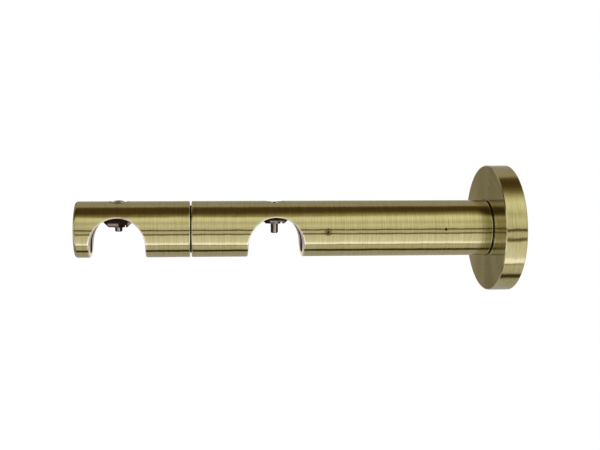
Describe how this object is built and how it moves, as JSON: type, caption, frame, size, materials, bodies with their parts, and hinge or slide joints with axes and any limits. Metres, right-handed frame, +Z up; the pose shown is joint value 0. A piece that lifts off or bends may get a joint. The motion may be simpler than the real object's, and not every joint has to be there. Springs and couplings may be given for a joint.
{
  "type": "curtain rod bracket",
  "caption": "Round-arm curtain bracket with a wall rosette and open-bottomed seats for a front and a rear rod, each with a clamp screw and plate nut.",
  "frame": {"origin": "middle of the rosette's back, on the wall plane, on the arm's axis", "axes": "-X out from the wall along the arm, +X into the wall, +Z up, away from the mouths of the rod seats, Y along the rods"},
  "size_m": [0.165, 0.048, 0.048],
  "materials": {
    "antique_brass": "brushed antique brass",
    "cast_core": "cast, machined faces",
    "zinc_steel": "zinc plated",
    "screw_steel": "antique plated",
    "browned_nut": "browned"
  },
  "bodies": {
    "arm": {"front_tube": "antique_brass", "front_end_cap": "antique_brass", "front_core": "cast_core", "connector_stud": "zinc_steel", "rear_tube": "antique_brass", "rear_core": "cast_core", "rear_plug": "zinc_steel", "rosette": "antique_brass", "wall_plate": "zinc_steel", "arm_screw": "zinc_steel", "lock_washer": "zinc_steel", "rosette_set_screw": "zinc_steel"},
    "front_screw": {"front_clamp_screw": "screw_steel"},
    "front_nut": {"front_clamp_nut": "browned_nut"},
    "rear_screw": {"rear_clamp_screw": "screw_steel"},
    "rear_nut": {"rear_clamp_nut": "browned_nut"}
  },
  "joints": [
    {"name": "front_screw_turn", "type": "hinge", "parent": "arm", "child": "front_screw", "pos_m": [-0.149, 0, 0.01], "axis": [0, 0, -1], "range_deg": [-1081, 1441]},
    {"name": "front_nut_travel", "type": "slide", "parent": "arm", "child": "front_nut", "axis": [0, 0, 1], "range_m": [-0.0015, 0.002]},
    {"name": "rear_screw_turn", "type": "hinge", "parent": "arm", "child": "rear_screw", "pos_m": [-0.09, 0, 0.01], "axis": [0, 0, -1], "range_deg": [-2161, 721]},
    {"name": "rear_nut_travel", "type": "slide", "parent": "arm", "child": "rear_nut", "axis": [0, 0, 1], "range_m": [-0.003, 0.001]}
  ],
  "couplings": [
    {"joint": "front_screw_turn", "follows": "front_nut_travel", "rad_per_m": 12566},
    {"joint": "rear_screw_turn", "follows": "rear_nut_travel", "rad_per_m": 12566}
  ]
}
